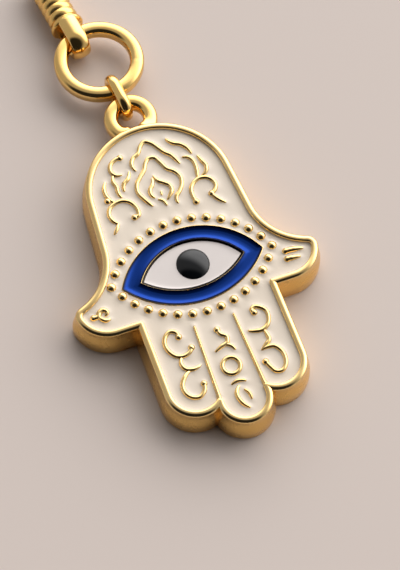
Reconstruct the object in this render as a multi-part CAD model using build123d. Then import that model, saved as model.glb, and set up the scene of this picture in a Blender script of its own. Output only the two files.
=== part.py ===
from build123d import *
import math
import os

os.makedirs("parts", exist_ok=True)

# A hamsa hand ornament lying on its back, in millimetres.
# X runs across the thumbs, Y from the fingertips to the bail, Z out of the face.
# The origin is on the flat back, under the middle of the eye.

# Hand outline, measured along the middle of the rim
dome_top = 23.0
dome_radius = 10.0
side_lean = 4.5
waist_height = 6.4
cusp_reach = 17.0
cusp_height = -1.25
thumb_radius = 4.3
finger_reach = 9.5
finger_shoulder = -16.4
valley_reach = 3.3
valley_height = -19.45
middle_tip = -23.2

# Tray section
thickness = 4.8
rim_width = 1.0
rim_rounding = 0.4
wall_bulge = 0.5
wall_height = 3.7
wall_shoulder = 0.9
back_edge = 0.7
floor_height = 3.2

# Heights of what fills the tray, above the back
ivory_height = 4.25
wire_height = 4.6
ridge_height = 4.65
bezel_height = 4.45
blue_height = 4.3
white_height = 4.2
bead_height = 4.75
pupil_height = 4.9
enamel_gap = 0.02

# Eye, two arcs over one corner line
blue_reach = 9.95
blue_rise = 6.2
blue_drop = 4.95
white_reach = 6.95
white_rise = 3.82
white_drop = 2.77
white_lift = 0.15
eye_turn = -1.2
outer_bezel = 0.22
inner_bezel = 0.4
pupil_radius = 2.3
pupil_x = 0.25
pupil_y = 0.7

# Bead border, its bead middles set out from the blue at the corners, the top and the bottom
bead_corner_gap = 1.45
bead_corner_lift = 0.36
bead_top_gap = 1.45
bead_bottom_gap = 1.65
bead_turn = -3.2
side_bead_count = 13
bead_radius = 0.62

# Scroll wires and the ridges between the fingers
wire_width = 0.58
ball_radius = 0.45
scroll_ring_radius = 1.2
ridge_width = 0.7
ridge_tip_width = 0.4
ridge_tip_reach = 2.8
ridge_tip_height = -8.2
ridge_foot_reach = 3.15
same_way = 0.0001

# Bail, link, ring and end cap
chain_height = 2.6
bail_radius = 2.8
bail_wire = 1.05
bail_inset = 1.0
loop_rounding = 0.75
link_wire = 0.62
link_side = 0.8
link_length = 2.4
chain_lean = 6.0
ring_radius = 5.5
ring_wire = 1.05
eye_wire = 0.6
eye_side = 1.4
eye_leg = 1.9
eye_inset = 0.8
cap_angle = 113.0
cap_heading = 98.0
loop_clearance = 0.2
eye_clearance = 0.25
lip_radius = 2.5
lip_length = 0.7
neck_radius = 2.0
neck_length = 0.5
barrel_radius = 2.1
rib_rise = 0.15
rib_pitch = 1.15
rib_count = 7
mouth_length = 1.05
bore_radius = 1.6
bore_depth = 6.5

# Scroll lines, each a few points in the plane of the face
flame_lines = [
    [(-2.4, 16.9), (-2.6, 17.9), (-2.1, 18.8), (-1.2, 19.3), (-0.5, 20.3), (0.3, 20.8), (1.1, 20.3),
     (1.9, 19.1), (2.4, 18.3), (3.1, 17.6), (3.5, 16.8), (3.8, 16.0)],
    [(-2.0, 10.9), (-2.7, 12.2), (-3.2, 13.5), (-2.9, 14.8), (-2.1, 15.7), (-1.2, 16.6), (-0.7, 17.5),
     (0.0, 18.1), (0.7, 18.0), (1.3, 17.0), (1.9, 15.7), (2.7, 15.0), (3.2, 14.0), (3.0, 12.8), (2.3, 11.8),
     (1.6, 11.1), (1.5, 10.2)],
    [(-0.3, 15.2), (0.1, 14.3), (0.7, 13.8), (1.3, 13.2), (1.4, 12.4), (0.9, 11.7), (0.4, 11.2)],
    [(-0.6, 14.9), (-0.9, 14.0), (-1.5, 13.3), (-1.6, 12.6), (-1.3, 12.0)],
    [(-0.1, 12.6), (-0.2, 12.1)],
    [(-0.8, 11.5), (-0.3, 11.1), (-0.1, 10.4)],
]
right_lines = [
    [(3.3, 20.2), (4.0, 19.3), (4.9, 18.8), (5.6, 18.0), (5.9, 17.0)],
    [(4.6, 16.7), (5.2, 16.5), (5.7, 15.8), (5.8, 14.8), (5.6, 13.7), (5.4, 12.9)],
    [(6.6, 16.2), (6.9, 15.3), (7.2, 14.3), (6.9, 13.6), (6.2, 13.1)],
    [(3.95, 9.5), (3.8, 10.6), (4.0, 11.7), (4.6, 12.4), (5.6, 12.8), (6.6, 12.6), (7.2, 12.0),
     (7.4, 11.1), (7.0, 10.4), (6.4, 10.0)],
    [(6.4, 10.0), (6.7, 9.3), (7.2, 8.6), (7.7, 8.1)],
]
right_balls = [(3.95, 9.5), (6.4, 10.0)]
left_lines = [
    [(-3.8, 19.5), (-4.8, 19.3), (-5.5, 18.7), (-5.7, 17.9), (-5.3, 17.1), (-4.5, 16.9)],
    [(-5.6, 17.1), (-5.9, 16.2), (-5.7, 15.3), (-5.8, 14.3), (-5.6, 13.6)],
    [(-3.3, 16.9), (-3.9, 15.9), (-4.6, 15.4), (-4.9, 14.4)],
    [(-7.0, 16.4), (-7.5, 15.4), (-7.5, 14.4), (-7.2, 13.6), (-6.7, 13.1)],
    [(-4.9, 10.0), (-4.3, 10.1), (-4.1, 10.8), (-4.3, 11.8), (-4.9, 12.6), (-5.8, 13.0), (-6.8, 12.9),
     (-7.7, 12.4), (-8.1, 11.5), (-7.9, 10.5), (-7.3, 9.8)],
    [(-7.3, 9.8), (-7.7, 9.2), (-8.3, 8.5)],
]
left_balls = [(-3.8, 19.5), (-4.9, 10.0), (-7.6, 13.6)]
left_finger_lines = [
    [(-5.3, -8.9), (-5.4, -8.2), (-6.1, -7.8), (-6.9, -8.2), (-7.4, -9.3), (-7.2, -10.5), (-6.4, -11.5),
     (-5.4, -11.7), (-4.6, -11.4), (-4.2, -10.9)],
    [(-5.9, -11.8), (-6.3, -12.7), (-5.9, -13.6), (-5.1, -13.9), (-4.0, -13.7)],
    [(-5.6, -14.0), (-6.6, -14.7), (-7.2, -15.7), (-7.1, -16.9), (-6.4, -17.7), (-5.6, -17.9), (-4.8, -17.4),
     (-4.4, -16.3)],
]
left_finger_balls = [(-5.3, -8.9), (-4.2, -10.9), (-4.4, -16.3)]
middle_finger_lines = [
    [(-0.1, -9.6), (0.1, -10.3), (0.8, -11.0), (0.6, -11.7), (-0.4, -12.1), (-1.3, -12.5)],
    [(0.0, -12.0), (0.8, -12.3), (1.2, -13.0)],
    [(-0.9, -17.6), (0.0, -17.4), (0.9, -17.7)],
    [(-0.2, -18.2), (-0.8, -19.0), (-0.7, -20.2), (0.1, -21.4)],
    [(0.4, -18.9), (0.8, -19.6), (0.8, -20.3)],
]
middle_finger_balls = [(-0.1, -9.6)]
middle_finger_rings = [(-0.1, -15.1)]
right_finger_lines = [
    [(5.5, -8.9), (5.3, -8.4), (5.8, -8.1), (6.5, -8.4), (7.1, -9.1), (7.1, -10.1), (6.6, -11.1),
     (5.7, -11.6), (4.7, -11.5), (3.9, -11.2)],
    [(5.8, -11.7), (6.0, -12.5), (6.0, -13.2), (5.3, -13.8), (4.6, -14.3)],
    [(4.6, -14.3), (5.4, -14.2), (6.2, -14.3), (6.9, -15.1), (7.1, -16.2), (6.8, -17.3), (6.0, -18.0),
     (5.2, -17.8), (4.8, -17.1), (4.4, -16.1)],
]
right_finger_balls = [(5.5, -8.9), (4.4, -16.1)]

# Thumb curls, measured inwards and upwards from the tip of their thumb
left_thumb_lines = [
    [(1.9, -1.25), (2.5, -1.25), (2.9, -0.75), (3.5, -0.55), (3.9, -0.95), (3.6, -1.4)],
    [(2.6, -1.2), (2.9, -1.75), (3.4, -2.15), (3.9, -2.05)],
]
left_thumb_balls = [(1.9, -1.25)]
right_thumb_lines = [
    [(4.2, -0.5), (3.0, -0.6), (1.9, -0.8)],
    [(4.4, -1.7), (3.6, -1.75), (2.7, -1.85)],
]
right_thumb_balls = [(4.2, -0.5), (4.4, -1.7)]


def hand_outline():
    """Face bounded by the middle of the rim."""
    dome_center = dome_top - dome_radius
    dome = CenterArc((0, dome_center), dome_radius, 90, side_lean - 90)
    side_start = dome @ 1
    waist_x = side_start.X + (side_start.Y - waist_height) * math.tan(math.radians(side_lean))
    side = Line(side_start, (waist_x, waist_height))
    flare = TangentArc(side @ 1, (cusp_reach, cusp_height), tangent=side % 1)
    thumb = CenterArc((cusp_reach - thumb_radius, cusp_height), thumb_radius, 0, -90)
    thumb_base = Line(thumb @ 1, (finger_reach, cusp_height - thumb_radius))
    finger_side = Line(thumb_base @ 1, (finger_reach, finger_shoulder))
    fingertip = TangentArc(finger_side @ 1, (valley_reach, valley_height), tangent=finger_side % 1)
    middle = ThreePointArc((valley_reach, valley_height), (0, middle_tip), (-valley_reach, valley_height))
    half = [dome, side, flare, thumb, thumb_base, finger_side, fingertip]
    return make_face(half + [mirror(edge, about=Plane.YZ) for edge in half] + [middle])


def almond(reach, rise, drop):
    """Face between two arcs that meet at the corners of the eye."""
    upper = ThreePointArc((-reach, 0), (0, rise), (reach, 0))
    lower = ThreePointArc((reach, 0), (0, -drop), (-reach, 0))
    return make_face([upper, lower])


def grown_almond(reach, rise, drop, margin):
    """The almond with a margin added on every side of its arcs."""
    return offset(almond(reach, rise, drop), margin, kind=Kind.INTERSECTION)


def bead_places():
    """Centres of the beads, evenly spaced along both arcs of their almond."""
    reach = blue_reach + bead_corner_gap
    left = (-reach, bead_corner_lift)
    right = (reach, bead_corner_lift)
    upper = ThreePointArc(left, (0, blue_rise + bead_top_gap), right)
    lower = ThreePointArc(right, (0, -blue_drop - bead_bottom_gap), left)
    steps = side_bead_count + 1
    turned = Rot(0, 0, bead_turn)
    return [(turned * Pos(arc @ (i / steps))).position for arc in (upper, lower) for i in range(steps)]


def smooth_line(points):
    """Tangent arcs through the points, two to each span."""
    spots = [Vector(*point) for point in points]
    inner = [(after - before).normalized() for before, after in zip(spots, spots[2:])]
    first = (spots[1] - spots[0]).normalized()
    last = (spots[-1] - spots[-2]).normalized()
    if inner:
        first = first * (2 * first.dot(inner[0])) - inner[0]
        last = last * (2 * last.dot(inner[-1])) - inner[-1]
    ways = [first, *inner, last]
    arcs = []
    for start, end, start_way, end_way in zip(spots, spots[1:], ways, ways[1:]):
        span = end - start
        spread = 2 * (1 - start_way.dot(end_way))
        along = span.dot(start_way + end_way)
        if spread < same_way:
            reach = span.length / 2
        else:
            reach = (math.sqrt(along * along + spread * span.dot(span)) - along) / spread
        middle = (start + start_way * reach + end - end_way * reach) / 2
        arcs += [joining_arc(start, middle, start_way), joining_arc(end, middle, end_way * -1)]
    return arcs


def joining_arc(start, end, way):
    """Arc that leaves the start along the given way, or a line where they agree."""
    if (end - start).normalized().cross(way).length < same_way:
        return Line(start, end)
    return TangentArc(start, end, tangent=way)


def wire_print(lines, balls, rings, margin):
    """Footprint of scroll wires with round ends, balls and plain rings, grown by a margin."""
    faces = []
    for points in lines:
        for arc in smooth_line(points):
            faces.append(trace(arc, wire_width + 2 * margin))
            faces.append(Pos(arc @ 0) * Circle(wire_width / 2 + margin))
            faces.append(Pos(arc @ 1) * Circle(wire_width / 2 + margin))
    faces += [Pos(*place) * Circle(ball_radius + margin) for place in balls]
    half = wire_width / 2 + margin
    ring = Circle(scroll_ring_radius + half) - Circle(scroll_ring_radius - half)
    faces += [Pos(*place) * ring for place in rings]
    return Sketch() + faces


def ridge_print(side, margin):
    """Tapered footprint of the ridge beside the middle finger, grown by a margin."""
    half = ridge_width / 2 + margin
    tip_half = ridge_tip_width / 2 + margin
    tip = (side * ridge_tip_reach, ridge_tip_height)
    tip_left = (tip[0] - tip_half, tip[1])
    tip_right = (tip[0] + tip_half, tip[1])
    foot_left = (side * ridge_foot_reach - half, valley_height)
    foot_right = (side * ridge_foot_reach + half, valley_height)
    taper = make_face(Polyline(tip_left, foot_left, foot_right, tip_right, close=True))
    taper = taper + Pos(*tip) * Circle(tip_half)
    return taper & offset(hand_outline(), margin - rim_width / 2 - enamel_gap, kind=Kind.ARC)


def from_thumb(side, points):
    """Places in the plane of the face of points measured from a thumb's tip."""
    return [(side * (cusp_reach - inward), cusp_height + upward) for inward, upward in points]


def raised(face, low, high):
    """Prism of a flat face between two heights."""
    return extrude(Pos(0, 0, low) * face, high - low)


def loop(radius, half):
    """Ring of rounded square wire, lying flat round the origin."""
    section = RectangleRounded(2 * half, 2 * half, loop_rounding)
    return revolve(Plane.XZ * Pos(radius, 0) * section, Axis.Z)


def save(name, shape):
    """Write one piece to its own file."""
    export_step(shape, "parts/" + name + ".step")


# Cast tray
outline = hand_outline()
wall_face = offset(outline, rim_width / 2 + wall_bulge, kind=Kind.ARC)
rim_face = offset(outline, rim_width / 2, kind=Kind.ARC)
well_face = offset(outline, -rim_width / 2, kind=Kind.ARC)
wall = raised(wall_face, 0, wall_height)
wall = fillet(wall.edges().group_by(Axis.Z)[-1], wall_shoulder)
wall = fillet(wall.edges().group_by(Axis.Z)[0], back_edge)
rim = raised(rim_face, wall_height - wall_shoulder, thickness)
rim = fillet(rim.edges().group_by(Axis.Z)[-1], rim_rounding)
tray = wall + rim - raised(well_face, floor_height, thickness)
rim_top = tray.faces().filter_by(Plane.XY).sort_by(Axis.Z)[-1]
tray = fillet(rim_top.inner_wires()[0].edges(), rim_rounding)
save("hand_tray", tray)

# Bail, soldered to the wall
bail_y = dome_top + rim_width / 2 + wall_bulge + bail_radius - bail_inset
bail = Pos(0, bail_y, chain_height) * loop(bail_radius, bail_wire) - tray
bail = bail.solids().sort_by(Axis.Y)[-1]
save("bail_loop", bail)

# Eye
eye_place = Rot(0, 0, eye_turn)
lid_place = eye_place * Pos(0, white_lift)
blue_edge = eye_place * almond(blue_reach, blue_rise, blue_drop)
white_edge = lid_place * almond(white_reach, white_rise, white_drop)
bezel_edge = eye_place * grown_almond(blue_reach, blue_rise, blue_drop, outer_bezel)
lid_edge = lid_place * grown_almond(white_reach, white_rise, white_drop, inner_bezel)
pupil_edge = Pos(pupil_x, pupil_y) * Circle(pupil_radius)
save("eye_outer_bezel", raised(bezel_edge - blue_edge, floor_height, bezel_height))
save("blue_enamel", raised(blue_edge - lid_edge, floor_height, blue_height))
save("eye_inner_bezel", raised(lid_edge - white_edge, floor_height, bezel_height))
save("white_enamel", raised(white_edge - pupil_edge, floor_height, white_height))
dome_rise = pupil_height - white_height
dome_sphere = (pupil_radius * pupil_radius + dome_rise * dome_rise) / (2 * dome_rise)
pupil_stem = Pos(pupil_x, pupil_y, floor_height) * Cylinder(
    pupil_radius, pupil_height - floor_height, align=(Align.CENTER, Align.CENTER, Align.MIN)
)
pupil_cap = Pos(pupil_x, pupil_y, pupil_height - dome_sphere) * Sphere(dome_sphere)
save("pupil_dome", pupil_stem & pupil_cap)

# Bead border, round stems with domed heads
bead_stem_height = bead_height - bead_radius - floor_height
beads = []
for place in bead_places():
    seat = Pos(place.X, place.Y, floor_height)
    stem = seat * Cylinder(bead_radius, bead_stem_height, align=(Align.CENTER, Align.CENTER, Align.MIN))
    beads.append(stem + seat * Pos(0, 0, bead_stem_height) * Sphere(bead_radius))
save("bead_border", Compound(children=beads))

# Ridges and scroll wires
for name, side in (("finger_ridge_left", -1), ("finger_ridge_right", 1)):
    save(name, raised(ridge_print(side, 0), floor_height, ridge_height))
wire_groups = {
    "palm_flame": (flame_lines, [], []),
    "palm_scrolls_left": (left_lines, left_balls, []),
    "palm_scrolls_right": (right_lines, right_balls, []),
    "finger_scrolls_left": (left_finger_lines, left_finger_balls, []),
    "finger_scrolls_middle": (middle_finger_lines, middle_finger_balls, middle_finger_rings),
    "finger_scrolls_right": (right_finger_lines, right_finger_balls, []),
}
thumb_groups = (
    ("thumb_curl_left", -1, left_thumb_lines, left_thumb_balls),
    ("thumb_curls_right", 1, right_thumb_lines, right_thumb_balls),
)
for name, side, lines, balls in thumb_groups:
    wire_groups[name] = ([from_thumb(side, line) for line in lines], from_thumb(side, balls), [])
for name, group in wire_groups.items():
    save(name, raised(wire_print(*group, 0), floor_height, wire_height))

# Ivory enamel, run in round everything that stands on the tray floor
ivory_face = well_face - bezel_edge
for place in bead_places():
    ivory_face = ivory_face - Pos(place.X, place.Y) * Circle(bead_radius + enamel_gap)
for side in (-1, 1):
    ivory_face = ivory_face - ridge_print(side, enamel_gap)
for group in wire_groups.values():
    ivory_face = ivory_face - wire_print(*group, enamel_gap)
save("ivory_enamel", raised(ivory_face, floor_height, ivory_height))

# Chain of the link, the ring and the end cap, all at one height
chain_way = Vector(0, 1).rotate(Axis.Z, chain_lean)
bail_grip = Vector(0, bail_y, chain_height) + chain_way * bail_radius
ring_grip = bail_grip + chain_way * link_length
ring_center = ring_grip + chain_way * ring_radius
cap_grip = ring_center + Vector(1, 0).rotate(Axis.Z, cap_angle) * ring_radius
cap_way = Vector(1, 0).rotate(Axis.Z, cap_heading)

link_plane = Plane(bail_grip, x_dir=chain_way, z_dir=chain_way.cross(Vector(0, 0, 1)))
link_radius = bail_wire + loop_clearance + link_wire
link_line = [
    Line((0, link_radius), (link_length, link_radius)),
    ThreePointArc((link_length, link_radius), (link_length + link_radius, 0), (link_length, -link_radius)),
    Line((link_length, -link_radius), (0, -link_radius)),
    ThreePointArc((0, -link_radius), (-link_radius, 0), (0, link_radius)),
]
link_path = link_plane * Wire(link_line)
link_cut = Plane(link_path @ 0, x_dir=link_plane.z_dir, z_dir=link_path % 0)
link_section = link_cut * Ellipse(link_side, link_wire)
save("chain_link", sweep(link_section, path=link_path))

save("hanging_ring", Pos(ring_center) * loop(ring_radius, ring_wire))

# End cap, an eye of bent wire on a ribbed barrel with an open mouth
cap_plane = Plane(cap_grip, x_dir=cap_way, z_dir=cap_way.cross(Vector(0, 0, 1)))
eye_radius = ring_wire + eye_clearance + eye_wire
eye_line = [
    Line((eye_leg, eye_radius), (-eye_inset, eye_radius)),
    ThreePointArc((-eye_inset, eye_radius), (-eye_inset - eye_radius, 0), (-eye_inset, -eye_radius)),
    Line((-eye_inset, -eye_radius), (eye_leg, -eye_radius)),
]
eye_path = cap_plane * Wire(eye_line)
eye_cut = Plane(eye_path @ 0, x_dir=cap_plane.z_dir, z_dir=eye_path % 0)
eye_section = eye_cut * Ellipse(eye_side, eye_wire)
save("end_cap_eye", sweep(eye_section, path=eye_path))

rib_start = eye_leg + lip_length + neck_length
rib_end = rib_start + rib_count * rib_pitch
mouth = rib_end + mouth_length
barrel_line = [
    Line((eye_leg, 0), (eye_leg, lip_radius)),
    Line((eye_leg, lip_radius), (eye_leg + lip_length, lip_radius)),
    Line((eye_leg + lip_length, lip_radius), (eye_leg + lip_length, neck_radius)),
    Line((eye_leg + lip_length, neck_radius), (rib_start, neck_radius)),
    Line((rib_start, neck_radius), (rib_start, barrel_radius)),
]
for rib in range(rib_count):
    near = rib_start + rib * rib_pitch
    far = near + rib_pitch
    crest = ((near + far) / 2, barrel_radius + rib_rise)
    barrel_line.append(ThreePointArc((near, barrel_radius), crest, (far, barrel_radius)))
barrel_line += [
    Line((rib_end, barrel_radius), (mouth, barrel_radius)),
    Line((mouth, barrel_radius), (mouth, bore_radius)),
    Line((mouth, bore_radius), (mouth - bore_depth, bore_radius)),
    Line((mouth - bore_depth, bore_radius), (mouth - bore_depth, 0)),
    Line((mouth - bore_depth, 0), (eye_leg, 0)),
]
barrel_face = cap_plane * make_face(barrel_line)
save("end_cap_barrel", revolve(barrel_face, Axis(cap_grip, cap_way)))
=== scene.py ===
# %% [markdown]
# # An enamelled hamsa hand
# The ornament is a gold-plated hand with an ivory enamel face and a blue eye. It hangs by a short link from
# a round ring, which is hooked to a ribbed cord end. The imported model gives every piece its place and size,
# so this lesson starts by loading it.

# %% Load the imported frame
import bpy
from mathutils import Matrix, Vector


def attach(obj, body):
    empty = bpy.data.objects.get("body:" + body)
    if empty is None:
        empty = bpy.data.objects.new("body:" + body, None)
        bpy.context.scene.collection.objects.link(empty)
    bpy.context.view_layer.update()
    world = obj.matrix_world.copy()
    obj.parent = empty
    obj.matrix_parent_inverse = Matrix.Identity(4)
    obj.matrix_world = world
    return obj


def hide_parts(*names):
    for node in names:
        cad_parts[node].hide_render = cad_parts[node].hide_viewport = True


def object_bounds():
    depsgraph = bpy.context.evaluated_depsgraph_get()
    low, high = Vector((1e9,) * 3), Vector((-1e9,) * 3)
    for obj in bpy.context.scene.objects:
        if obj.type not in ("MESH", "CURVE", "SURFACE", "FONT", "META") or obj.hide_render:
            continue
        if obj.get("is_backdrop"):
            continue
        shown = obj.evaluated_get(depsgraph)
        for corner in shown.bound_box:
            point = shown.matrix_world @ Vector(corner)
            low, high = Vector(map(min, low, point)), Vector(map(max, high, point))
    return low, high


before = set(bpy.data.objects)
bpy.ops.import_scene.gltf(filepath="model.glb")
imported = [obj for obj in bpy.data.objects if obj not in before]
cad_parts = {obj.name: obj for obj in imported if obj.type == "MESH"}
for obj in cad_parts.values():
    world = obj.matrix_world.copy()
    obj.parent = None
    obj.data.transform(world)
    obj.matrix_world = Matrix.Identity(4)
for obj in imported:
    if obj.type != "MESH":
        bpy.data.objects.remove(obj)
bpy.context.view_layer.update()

# %% [markdown]
# ## The camera
# The picture looks down on the hand from the front left, through a short telephoto lens. A camera can be
# aimed with a constraint or placed by angles. Angles are used here, because the distance and the slight
# roll are known.

# %% Place the camera
import bpy
import math
from mathutils import Quaternion, Vector

MM = 0.001
scene = bpy.context.scene
look_at = Vector((-0.04, -2.84, 4.8)) * MM
camera_azimuth = math.radians(-22.87)
camera_elevation = math.radians(64.92)
camera_roll = math.radians(3.0)
camera_distance, nearest_sight = 243.12 * MM, 10 * MM
picture_height_px = 570
focal_length_px = 1800
sensor_mm = 36.0


def from_sphere(azimuth, elevation):
    """Direction to a point seen at that azimuth, counted from the front, and that elevation."""
    flat = math.cos(elevation)
    return Vector((math.sin(azimuth) * flat, -math.cos(azimuth) * flat, math.sin(elevation)))


camera = bpy.data.objects.new("camera", bpy.data.cameras.new("camera"))
scene.collection.objects.link(camera)
camera_back = from_sphere(camera_azimuth, camera_elevation)
camera.location = look_at + camera_back * camera_distance
camera.rotation_mode = "QUATERNION"
camera.rotation_quaternion = camera_back.to_track_quat("Z", "Y") @ Quaternion((0, 0, 1), camera_roll)
camera.data.sensor_width = sensor_mm
camera.data.lens = sensor_mm * focal_length_px / picture_height_px
camera.data.clip_start = nearest_sight
scene.camera = camera
scene.view_settings.view_transform = "Standard"
print("lens of", round(camera.data.lens, 1), "mm")

# %% [markdown]
# ## Colours and nodes
# Colours are written as sRGB hex values, as a colour chart gives them, and one function turns them into the
# linear values that Blender mixes light with. One more function adds a node, fills its sockets and links
# it. Every finish has a tint, a gloss that varies a little and fine bumps, so one function does that too.

# %% Helpers for nodes


def paint(hex_code):
    """Linear colour of an sRGB hex code."""
    shares = [int(hex_code[i:i + 2], 16) / 255 for i in (1, 3, 5)]
    linear = [s / 12.92 if s <= 0.04045 else ((s + 0.055) / 1.055) ** 2.4 for s in shares]
    return (*linear, 1.0)


def add_node(tree, kind, values=(), links=(), **settings):
    """Add a node, set its properties, then its sockets, then link it to earlier nodes."""
    node = tree.nodes.new(kind)
    for name, value in settings.items():
        setattr(node, name, value)
    for socket, value in dict(values).items():
        node.inputs[socket].default_value = value
    for socket, source in dict(links).items():
        tree.links.new(source, node.inputs[socket])
    return node


print("colours and nodes ready")

# %% Helpers for materials
MIX_SHARE, MIX_FIRST, MIX_SECOND, MIX_COLOUR = 0, 6, 7, 2


def new_material(name):
    """Empty node material, with its tree, its shader and the place of each surface point."""
    material = bpy.data.materials.new(name)
    material.use_nodes = True
    tree = material.node_tree
    tree.nodes.clear()
    shader = add_node(tree, "ShaderNodeBsdfPrincipled")
    add_node(tree, "ShaderNodeOutputMaterial", links={"Surface": shader.outputs["BSDF"]})
    place = add_node(tree, "ShaderNodeTexCoord")
    return material, tree, shader, place.outputs["Object"]


def per_mm(size_mm):
    """Texture scale that gives a pattern of that size."""
    return 1 / (size_mm * MM)


def add_skin(tree, shader, colours, share, roughness, spread, marks, bump_mm, bumps):
    """Two colours mixed by a share, gloss that varies by a spread with the marks, and bumps of a height."""
    tint = add_node(tree, "ShaderNodeMix", {MIX_FIRST: paint(colours[0]), MIX_SECOND: paint(colours[1])},
                    {MIX_SHARE: share}, data_type="RGBA")
    gloss_range = {"To Min": roughness * (1 - spread), "To Max": roughness * (1 + spread)}
    gloss = add_node(tree, "ShaderNodeMapRange", gloss_range, {"Value": marks})
    bump = add_node(tree, "ShaderNodeBump", {"Strength": 1.0, "Distance": bump_mm * MM}, {"Height": bumps})
    for socket, source in (("Base Color", tint.outputs[MIX_COLOUR]), ("Roughness", gloss.outputs["Result"]),
                           ("Normal", bump.outputs["Normal"])):
        tree.links.new(source, shader.inputs[socket])


print("materials ready")

# %% [markdown]
# ## Gold plate, polished and satin
# The hand is cast in a soft alloy, tumbled, and plated with a thin coat of gold. Polished rims and wires
# mirror the room almost sharply. The loops that it hangs by are drawn wire with a slightly yellower coat.
# The side wall keeps the grain of tumbling, so it shows a broad satin glow; its deeper tone is painted shade,
# standing in for the gold-tinted light bounced between the wall and the floor in its shadow. Real tumbling
# marks are too fine to see, so they are drawn a few times coarser. The sides of the thin strips round the
# eye that slope down to the enamel are given a near-black gold. One function makes all of these, with tints
# and roughness of their own.

# %% Gold plate
tint_patch_mm, tint_detail = 6.0, 2.0
marks_mm, marks_detail, marks_spread = 1.6, 4.0, 0.25
grain_detail = 3.0


def gold_plate(name, pale, deep, roughness, grain_mm, bump_mm):
    """Plated gold whose tint drifts slowly and whose gloss follows the polishing marks."""
    material, tree, shader, place = new_material(name)
    patterns = (tint_patch_mm, tint_detail), (marks_mm, marks_detail), (grain_mm, grain_detail)
    drift, marks, grain = [add_node(tree, "ShaderNodeTexNoise", {"Scale": per_mm(size), "Detail": detail},
                                    {"Vector": place}).outputs["Fac"] for size, detail in patterns]
    shader.inputs["Metallic"].default_value = 1.0
    add_skin(tree, shader, (pale, deep), drift, roughness, marks_spread, marks, bump_mm, grain)
    return material


polished_gold = gold_plate("gold_plate_polished", "#FBDEA0", "#F0C982", 0.12, grain_mm=0.9, bump_mm=0.003)
wire_gold = gold_plate("gold_plate_drawn_wire", "#FBD88F", "#EEBF6C", 0.12, grain_mm=0.9, bump_mm=0.003)
# The satin gold's deeper tint is painted shade, for gold-tinted light bounced between the wall and the floor;
# its roughness is the real satin grain.
satin_gold_painted_shade = gold_plate("gold_plate_satin_painted_shade", "#FBD386", "#EAB964", 0.26, grain_mm=0.35, bump_mm=0.005)
dark_gold = gold_plate("gold_plate_darkened", "#3A342C", "#1C1A18", 0.22, grain_mm=0.4, bump_mm=0.003)
print("made", polished_gold.name, wire_gold.name, satin_gold_painted_shade.name, dark_gold.name)

# %% [markdown]
# ## Enamels
# Soft enamel is coloured glass or resin, filled into the tray and cured. Its skin is glossy, with a faint
# ripple like orange peel. The ivory and the white are opaque. The blue is clear enamel over a bright metal
# ground, so light comes back through it in deep streaks, and a metallic share stands for that ground. It
# is made darker towards the edges of its band, and a value stored on the mesh tells the material how near
# an edge each point lies.

# %% Ivory, white and blue enamel
cloud_detail, cloud_spread, ripple_detail = 3.0, 0.3, 1.0


def enamel(name, light, dark, roughness, patch_mm, ripple_mm, bump_mm, ior=1.5, ground=0.0, darker_edges=False):
    """Glossy enamel between two close colours, mixed in cloudy patches, unless darker_edges makes it darker
    towards the edges of its band.

    The ground is the share of light that comes back from bright metal under clear enamel.
    """
    material, tree, shader, place = new_material(name)
    patterns = (patch_mm, cloud_detail), (ripple_mm, ripple_detail)
    cloud, ripple = [add_node(tree, "ShaderNodeTexNoise", {"Scale": per_mm(size), "Detail": detail},
                              {"Vector": place}).outputs["Fac"] for size, detail in patterns]
    share = cloud
    if darker_edges:
        share = add_node(tree, "ShaderNodeAttribute", attribute_name="edge_nearness").outputs["Fac"]
    shader.inputs["IOR"].default_value = ior
    shader.inputs["Metallic"].default_value = ground
    add_skin(tree, shader, (light, dark), share, roughness, cloud_spread, cloud, bump_mm, ripple)
    return material


ivory = enamel("ivory_enamel_cured", "#F3E7D8", "#EADBC8", 0.24,
               patch_mm=5.0, ripple_mm=0.5, bump_mm=0.006)
white = enamel("white_enamel_cured", "#EAE2DE", "#E2D9D6", 0.14,
               patch_mm=4.0, ripple_mm=1.1, bump_mm=0.004)
blue = enamel("blue_enamel_cured", "#023182", "#010D2C", 0.09,
              patch_mm=3.0, ripple_mm=1.4, bump_mm=0.003, ior=1.46, ground=0.75, darker_edges=True)
print("made", ivory.name, white.name, blue.name)

# %% [markdown]
# ## Black glass
# The pupil is a domed drop of black glass or resin. It is so dark that only its gloss is seen, so what
# matters is a smooth skin with the faintest unevenness of a poured drop.

# %% Black glass
black_glass = enamel("black_glass_drop", "#0E1014", "#08090C", 0.07,
                     patch_mm=2.0, ripple_mm=1.8, bump_mm=0.003, ior=1.46)
print("made", black_glass.name)

# %% [markdown]
# ## Floor and light
# The ornament lies on a plain pale floor, whose warm grey keeps the eye on the metal. Polished gold shows
# the room more than itself, so the room is built with care: one wide soft window behind and to the right,
# which brightens the right side of every wire and throws the soft shadow to the left, a dim room, and a
# dark patch in front, below the camera, which draws the dark line along each rim and the dark spot low on
# each bead. Lamps would do for the window too, but a patch of the sky has no hard edges to mirror.

# %% Floor
floor_half, floor_colour, floor_roughness = 900 * MM, "#D8CBC4", 0.65
floor_corners = [(x * floor_half, y * floor_half, 0) for x, y in ((-1, -1), (1, -1), (1, 1), (-1, 1))]
floor_mesh = bpy.data.meshes.new("floor")
floor_mesh.from_pydata(floor_corners, [], [(0, 1, 2, 3)])
floor = bpy.data.objects.new("floor", floor_mesh)
scene.collection.objects.link(floor)
floor_paint, _, floor_shader, _ = new_material("matt_floor_paint")
floor_shader.inputs["Base Color"].default_value = paint(floor_colour)
floor_shader.inputs["Roughness"].default_value = floor_roughness
floor_mesh.materials.append(floor_paint)
floor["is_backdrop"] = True
print("floor", round(2 * floor_half, 2), "m wide")

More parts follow.
